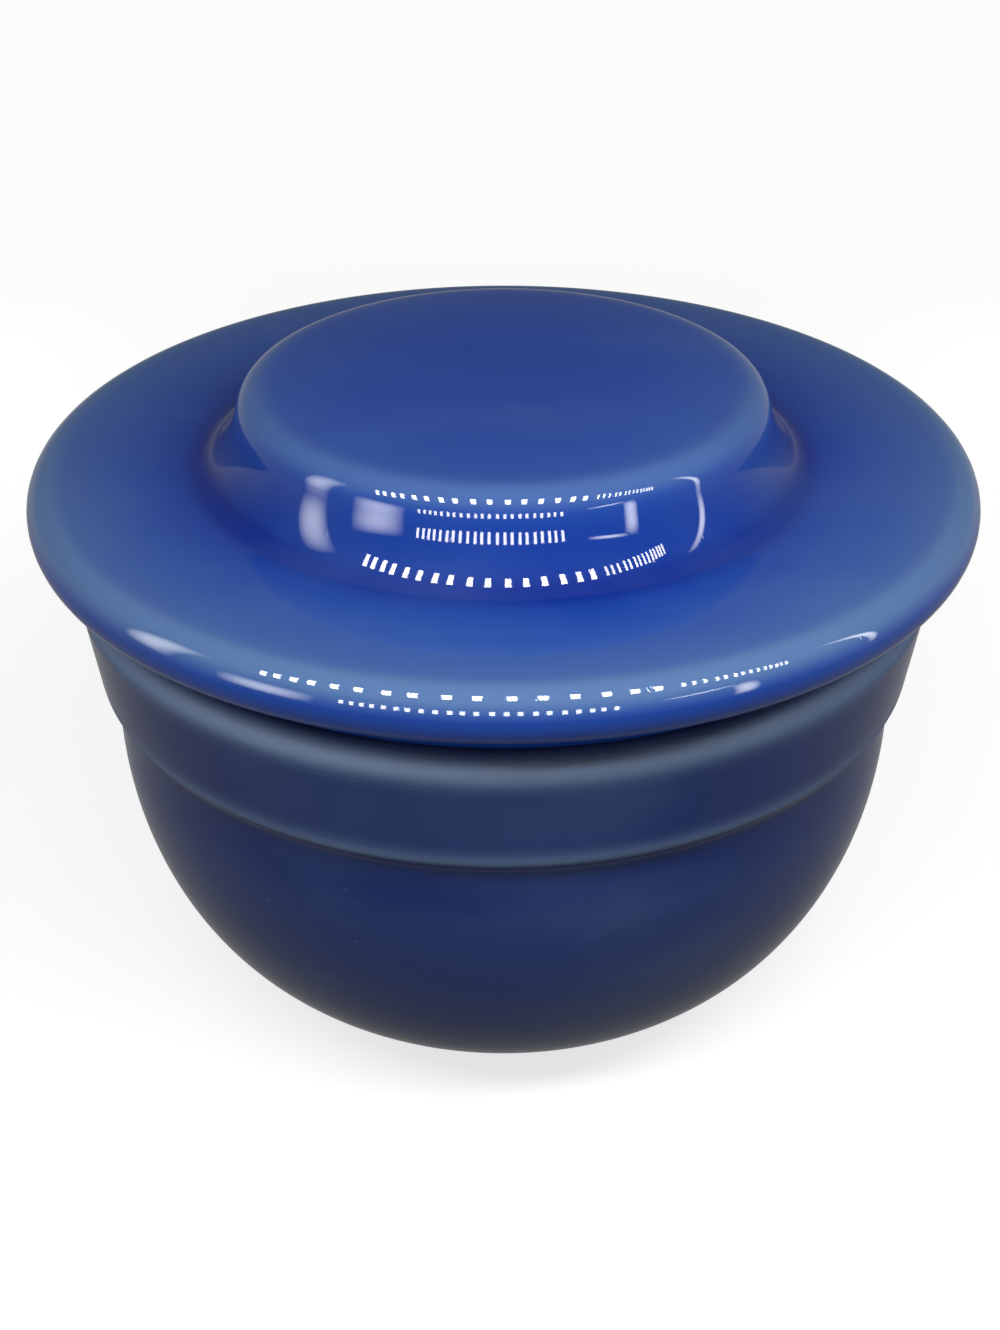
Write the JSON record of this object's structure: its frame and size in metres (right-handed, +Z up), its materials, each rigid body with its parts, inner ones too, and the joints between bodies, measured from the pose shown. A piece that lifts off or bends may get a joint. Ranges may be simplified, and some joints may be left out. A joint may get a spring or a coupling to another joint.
{
  "type": "butter crock",
  "caption": "Round glazed stoneware butter crock: a deep collared bowl for water, and a wide flat-topped lid with a butter bell under it that hangs in the bowl.",
  "frame": {"origin": "on the table plane, at the centre of the foot ring", "axes": "+Z up along the axis that both pieces turn about; X and Y lie in the table plane, and the object is the same all round"},
  "size_m": [0.128, 0.128, 0.0892],
  "materials": {
    "cobalt_glaze": "glossy cobalt blue glaze over stoneware, thinner and greyer on the edges"
  },
  "bodies": {
    "crock": {"crock": "cobalt_glaze"},
    "lid": {"bell_lid": "cobalt_glaze"}
  },
  "joints": [
    {"name": "lid_lift", "type": "slide", "parent": "crock", "child": "lid", "axis": [0, 0, 1], "range_m": [0, 0.08]}
  ]
}
